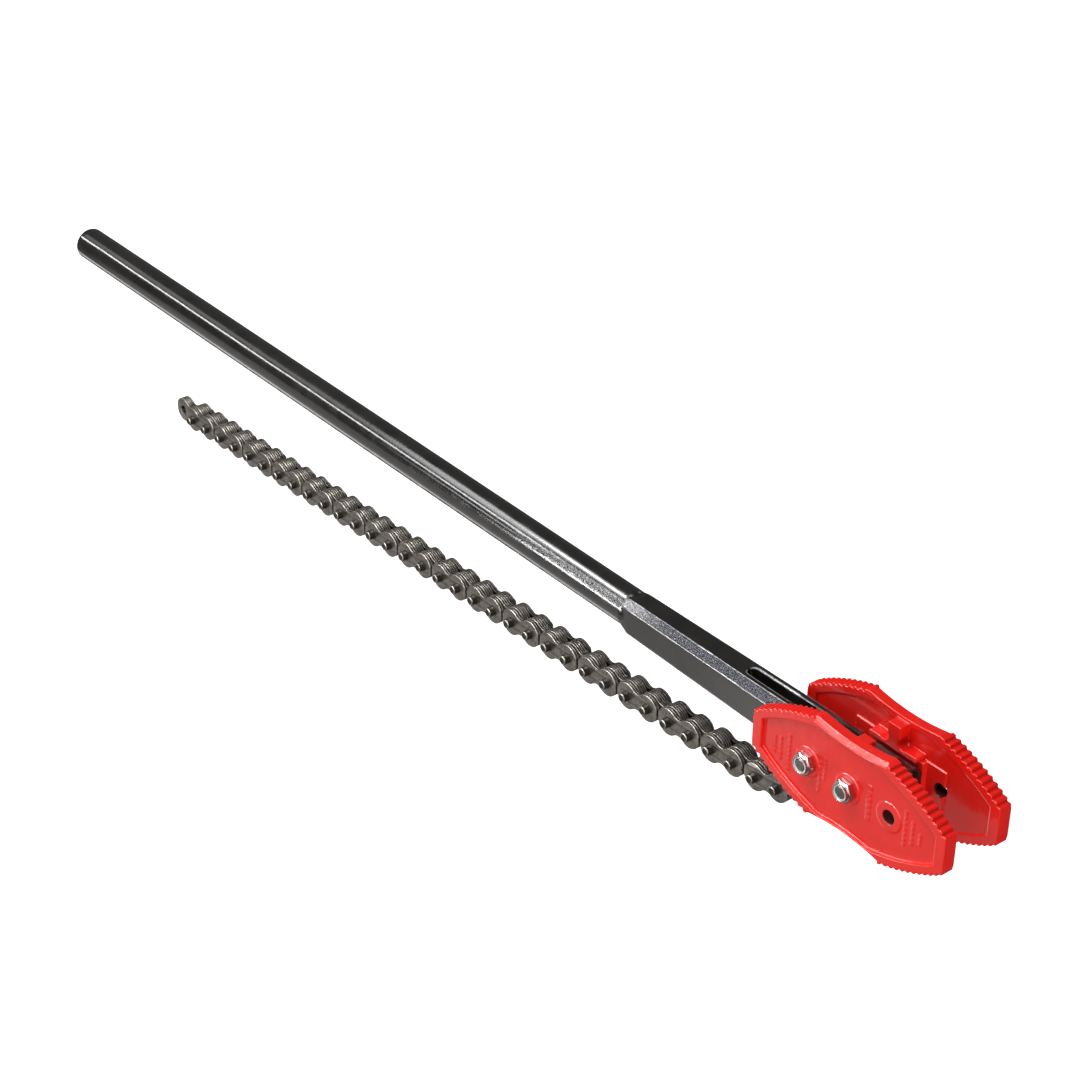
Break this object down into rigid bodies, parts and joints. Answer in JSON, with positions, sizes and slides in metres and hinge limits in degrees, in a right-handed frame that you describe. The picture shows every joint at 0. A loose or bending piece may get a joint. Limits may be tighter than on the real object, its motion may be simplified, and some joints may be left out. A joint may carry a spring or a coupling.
{
  "type": "chain pipe tong",
  "caption": "Double-end chain pipe tong: a long bar handle with two toothed jaws bolted to its end and a leaf chain that wraps a pipe and hooks onto the jaws.",
  "frame": {"origin": "axis of the open bolt hole of the jaws, midway between the two jaws", "axes": "+X out of the jaws, away from the grip; +Y across the height of the jaws, away from the chain; +Z along the bolts, with the nuts on top"},
  "size_m": [0.9195, 0.1292, 0.0587],
  "materials": {
    "handle_enamel": "glossy black enamel over a forged steel bar",
    "jaw_enamel": "glossy red enamel over forged steel",
    "bolt_zinc": "zinc plated",
    "nut_zinc": "bright zinc plated",
    "nut_ring": "satin locking ring",
    "chain_outer": "dark, oiled, heat-treated",
    "chain_inner": "dark, oiled, heat-treated"
  },
  "bodies": {
    "frame": {"handle": "handle_enamel", "jaw_upper": "jaw_enamel", "jaw_lower": "jaw_enamel", "jaw_bolts": "bolt_zinc", "lock_nuts": "nut_zinc", "nut_rings": "nut_ring"},
    "anchor_link": {"anchor_link": "chain_inner"},
    "outer_link_01": {"outer_link_01": "chain_outer"},
    "inner_link_01": {"inner_link_01": "chain_inner"},
    "outer_link_02": {"outer_link_02": "chain_outer"},
    "inner_link_02": {"inner_link_02": "chain_inner"},
    "outer_link_03": {"outer_link_03": "chain_outer"},
    "inner_link_03": {"inner_link_03": "chain_inner"},
    "outer_link_04": {"outer_link_04": "chain_outer"},
    "inner_link_04": {"inner_link_04": "chain_inner"},
    "outer_link_05": {"outer_link_05": "chain_outer"},
    "inner_link_05": {"inner_link_05": "chain_inner"},
    "outer_link_06": {"outer_link_06": "chain_outer"},
    "inner_link_06": {"inner_link_06": "chain_inner"},
    "outer_link_07": {"outer_link_07": "chain_outer"},
    "inner_link_07": {"inner_link_07": "chain_inner"},
    "outer_link_08": {"outer_link_08": "chain_outer"},
    "inner_link_08": {"inner_link_08": "chain_inner"},
    "outer_link_09": {"outer_link_09": "chain_outer"},
    "inner_link_09": {"inner_link_09": "chain_inner"},
    "outer_link_10": {"outer_link_10": "chain_outer"},
    "inner_link_10": {"inner_link_10": "chain_inner"},
    "outer_link_11": {"outer_link_11": "chain_outer"},
    "inner_link_11": {"inner_link_11": "chain_inner"},
    "outer_link_12": {"outer_link_12": "chain_outer"},
    "inner_link_12": {"inner_link_12": "chain_inner"},
    "outer_link_13": {"outer_link_13": "chain_outer"},
    "inner_link_13": {"inner_link_13": "chain_inner"},
    "outer_link_14": {"outer_link_14": "chain_outer"},
    "inner_link_14": {"inner_link_14": "chain_inner"},
    "outer_link_15": {"outer_link_15": "chain_outer"},
    "inner_link_15": {"inner_link_15": "chain_inner"},
    "outer_link_16": {"outer_link_16": "chain_outer"},
    "inner_link_16": {"inner_link_16": "chain_inner"},
    "outer_link_17": {"outer_link_17": "chain_outer"},
    "inner_link_17": {"inner_link_17": "chain_inner"}
  },
  "joints": [
    {"name": "anchor_pivot", "type": "hinge", "parent": "frame", "child": "anchor_link", "pos_m": [-0.063, 0, 0], "axis": [0, 0, 1], "range_deg": [0, 40]},
    {"name": "pin_01", "type": "hinge", "parent": "anchor_link", "child": "outer_link_01", "pos_m": [-0.10122, -0.04945, 0], "axis": [0, 0, 1], "range_deg": [0, 15.5]},
    {"name": "pin_02", "type": "hinge", "parent": "outer_link_01", "child": "inner_link_01", "pos_m": [-0.12006, -0.05227, 0], "axis": [0, 0, 1], "range_deg": [0, 16]},
    {"name": "pin_03", "type": "hinge", "parent": "inner_link_01", "child": "outer_link_02", "pos_m": [-0.13908, -0.05331, 0], "axis": [0, 0, 1], "range_deg": [0, 16]},
    {"name": "pin_04", "type": "hinge", "parent": "outer_link_02", "child": "inner_link_02", "pos_m": [-0.1581, -0.05436, 0], "axis": [0, 0, 1], "range_deg": [0, 16.5]},
    {"name": "pin_05", "type": "hinge", "parent": "inner_link_02", "child": "outer_link_03", "pos_m": [-0.17713, -0.05541, 0], "axis": [0, 0, 1], "range_deg": [0, 16.5]},
    {"name": "pin_06", "type": "hinge", "parent": "outer_link_03", "child": "inner_link_03", "pos_m": [-0.19615, -0.05645, 0], "axis": [0, 0, 1], "range_deg": [0, 17]},
    {"name": "pin_07", "type": "hinge", "parent": "inner_link_03", "child": "outer_link_04", "pos_m": [-0.21517, -0.0575, 0], "axis": [0, 0, 1], "range_deg": [0, 17]},
    {"name": "pin_08", "type": "hinge", "parent": "outer_link_04", "child": "inner_link_04", "pos_m": [-0.23419, -0.05855, 0], "axis": [0, 0, 1], "range_deg": [0, 17.5]},
    {"name": "pin_09", "type": "hinge", "parent": "inner_link_04", "child": "outer_link_05", "pos_m": [-0.25321, -0.0596, 0], "axis": [0, 0, 1], "range_deg": [0, 17.5]},
    {"name": "pin_10", "type": "hinge", "parent": "outer_link_05", "child": "inner_link_05", "pos_m": [-0.27223, -0.06064, 0], "axis": [0, 0, 1], "range_deg": [0, 18]},
    {"name": "pin_11", "type": "hinge", "parent": "inner_link_05", "child": "outer_link_06", "pos_m": [-0.29125, -0.06169, 0], "axis": [0, 0, 1], "range_deg": [0, 18.5]},
    {"name": "pin_12", "type": "hinge", "parent": "outer_link_06", "child": "inner_link_06", "pos_m": [-0.31027, -0.06273, 0], "axis": [0, 0, 1], "range_deg": [0, 18.5]},
    {"name": "pin_13", "type": "hinge", "parent": "inner_link_06", "child": "outer_link_07", "pos_m": [-0.3293, -0.06378, 0], "axis": [0, 0, 1], "range_deg": [0, 19]},
    {"name": "pin_14", "type": "hinge", "parent": "outer_link_07", "child": "inner_link_07", "pos_m": [-0.34832, -0.06483, 0], "axis": [0, 0, 1], "range_deg": [0, 19.5]},
    {"name": "pin_15", "type": "hinge", "parent": "inner_link_07", "child": "outer_link_08", "pos_m": [-0.36734, -0.06588, 0], "axis": [0, 0, 1], "range_deg": [0, 20]},
    {"name": "pin_16", "type": "hinge", "parent": "outer_link_08", "child": "inner_link_08", "pos_m": [-0.38636, -0.06692, 0], "axis": [0, 0, 1], "range_deg": [0, 20]},
    {"name": "pin_17", "type": "hinge", "parent": "inner_link_08", "child": "outer_link_09", "pos_m": [-0.40538, -0.06797, 0], "axis": [0, 0, 1], "range_deg": [0, 20.5]},
    {"name": "pin_18", "type": "hinge", "parent": "outer_link_09", "child": "inner_link_09", "pos_m": [-0.4244, -0.06902, 0], "axis": [0, 0, 1], "range_deg": [0, 21]},
    {"name": "pin_19", "type": "hinge", "parent": "inner_link_09", "child": "outer_link_10", "pos_m": [-0.44342, -0.07006, 0], "axis": [0, 0, 1], "range_deg": [0, 21.5]},
    {"name": "pin_20", "type": "hinge", "parent": "outer_link_10", "child": "inner_link_10", "pos_m": [-0.46244, -0.07111, 0], "axis": [0, 0, 1], "range_deg": [0, 22.5]},
    {"name": "pin_21", "type": "hinge", "parent": "inner_link_10", "child": "outer_link_11", "pos_m": [-0.48146, -0.07216, 0], "axis": [0, 0, 1], "range_deg": [0, 23]},
    {"name": "pin_22", "type": "hinge", "parent": "outer_link_11", "child": "inner_link_11", "pos_m": [-0.50049, -0.0732, 0], "axis": [0, 0, 1], "range_deg": [0, 23.5]},
    {"name": "pin_23", "type": "hinge", "parent": "inner_link_11", "child": "outer_link_12", "pos_m": [-0.51951, -0.07425, 0], "axis": [0, 0, 1], "range_deg": [0, 24.5]},
    {"name": "pin_24", "type": "hinge", "parent": "outer_link_12", "child": "inner_link_12", "pos_m": [-0.53853, -0.0753, 0], "axis": [0, 0, 1], "range_deg": [0, 25]},
    {"name": "pin_25", "type": "hinge", "parent": "inner_link_12", "child": "outer_link_13", "pos_m": [-0.55755, -0.07634, 0], "axis": [0, 0, 1], "range_deg": [0, 26]},
    {"name": "pin_26", "type": "hinge", "parent": "outer_link_13", "child": "inner_link_13", "pos_m": [-0.57657, -0.07739, 0], "axis": [0, 0, 1], "range_deg": [0, 27]},
    {"name": "pin_27", "type": "hinge", "parent": "inner_link_13", "child": "outer_link_14", "pos_m": [-0.59559, -0.07844, 0], "axis": [0, 0, 1], "range_deg": [0, 28]},
    {"name": "pin_28", "type": "hinge", "parent": "outer_link_14", "child": "inner_link_14", "pos_m": [-0.61461, -0.07948, 0], "axis": [0, 0, 1], "range_deg": [0, 29.5]},
    {"name": "pin_29", "type": "hinge", "parent": "inner_link_14", "child": "outer_link_15", "pos_m": [-0.63363, -0.08053, 0], "axis": [0, 0, 1], "range_deg": [0, 31]},
    {"name": "pin_30", "type": "hinge", "parent": "outer_link_15", "child": "inner_link_15", "pos_m": [-0.65265, -0.08158, 0], "axis": [0, 0, 1], "range_deg": [0, 32.5]},
    {"name": "pin_31", "type": "hinge", "parent": "inner_link_15", "child": "outer_link_16", "pos_m": [-0.67168, -0.08262, 0], "axis": [0, 0, 1], "range_deg": [0, 35]},
    {"name": "pin_32", "type": "hinge", "parent": "outer_link_16", "child": "inner_link_16", "pos_m": [-0.6907, -0.08367, 0], "axis": [0, 0, 1], "range_deg": [0, 37.5]},
    {"name": "pin_33", "type": "hinge", "parent": "inner_link_16", "child": "outer_link_17", "pos_m": [-0.70972, -0.08472, 0], "axis": [0, 0, 1], "range_deg": [0, 40.5]},
    {"name": "pin_34", "type": "hinge", "parent": "outer_link_17", "child": "inner_link_17", "pos_m": [-0.72874, -0.08576, 0], "axis": [0, 0, 1], "range_deg": [0, 44.5]}
  ]
}
